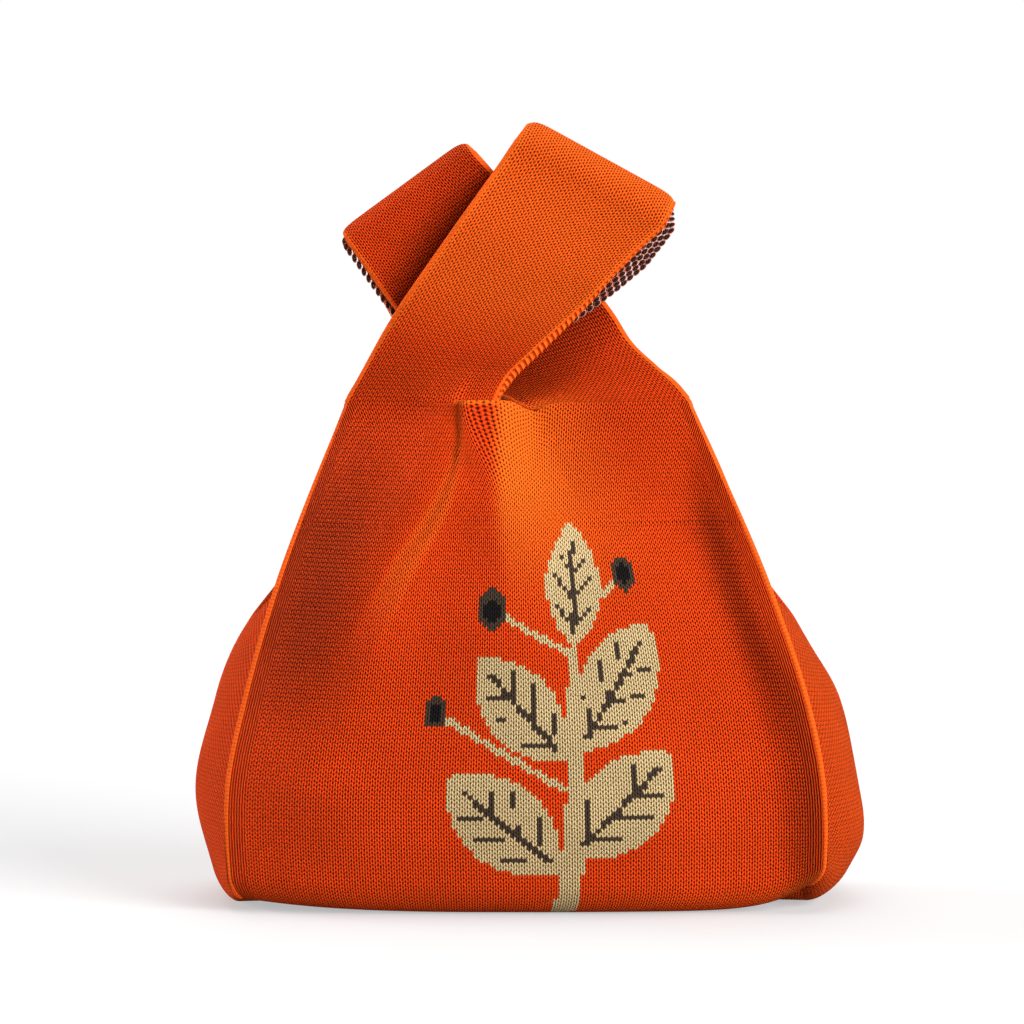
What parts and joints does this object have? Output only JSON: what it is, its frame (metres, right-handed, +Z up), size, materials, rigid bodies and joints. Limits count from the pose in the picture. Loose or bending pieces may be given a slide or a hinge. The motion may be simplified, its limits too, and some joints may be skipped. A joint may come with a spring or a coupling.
{
  "type": "knitted knot bag",
  "caption": "Soft knitted bag standing filled on its base, with open sides and wide handles, one threaded through the other's loop.",
  "frame": {"origin": "middle of the base's underside, on the surface that the bag stands on", "axes": "+Z up, front with the pattern towards -Y, long handle's root on the -X side"},
  "size_m": [0.254, 0.111, 0.2973],
  "materials": {
    "outer_knit": "matt plain knit of orange wool",
    "inner_knit": "matt knit, dark brown flecked with pink",
    "seam_knit": "matt raised seam of orange wool"
  },
  "bodies": {
    "bag_body": {"front_panel": "outer_knit", "back_panel": "outer_knit", "left_gusset": "outer_knit", "right_gusset": "outer_knit", "base_panel": "outer_knit", "front_panel_lining": "inner_knit", "back_panel_lining": "inner_knit", "left_gusset_lining": "inner_knit", "right_gusset_lining": "inner_knit", "base_panel_lining": "inner_knit", "front_left_seam": "seam_knit", "front_right_seam": "seam_knit", "back_left_seam": "seam_knit", "back_right_seam": "seam_knit", "base_seam": "seam_knit"},
    "long_handle": {"long_handle_front_leg": "outer_knit", "long_handle_back_leg": "outer_knit", "long_handle_front_leg_lining": "inner_knit", "long_handle_back_leg_lining": "inner_knit"},
    "long_handle_loop": {"long_handle_loop": "outer_knit", "long_handle_loop_lining": "inner_knit"},
    "short_handle": {"short_handle_front_leg": "outer_knit", "short_handle_back_leg": "outer_knit", "short_handle_front_leg_lining": "inner_knit", "short_handle_back_leg_lining": "inner_knit"},
    "short_handle_loop": {"short_handle_loop": "outer_knit", "short_handle_loop_lining": "inner_knit"}
  },
  "joints": [
    {"name": "long_handle_swing", "type": "hinge", "parent": "bag_body", "child": "long_handle", "pos_m": [-0.0465, 0, 0.19], "axis": [0, 1, 0], "range_deg": [-5, 4]},
    {"name": "long_handle_nod", "type": "hinge", "parent": "long_handle", "child": "long_handle_loop", "pos_m": [0.0055, 0, 0.2595], "axis": [0.6441, 0, -0.7649], "range_deg": [-30, 30]},
    {"name": "short_handle_swing", "type": "hinge", "parent": "bag_body", "child": "short_handle", "pos_m": [0.03175, 0, 0.19], "axis": [0, 1, 0], "range_deg": [-5, 4]},
    {"name": "short_handle_nod", "type": "hinge", "parent": "short_handle", "child": "short_handle_loop", "pos_m": [-0.033, 0, 0.254], "axis": [0.5432, 0, 0.8396], "range_deg": [-18, 18]}
  ]
}
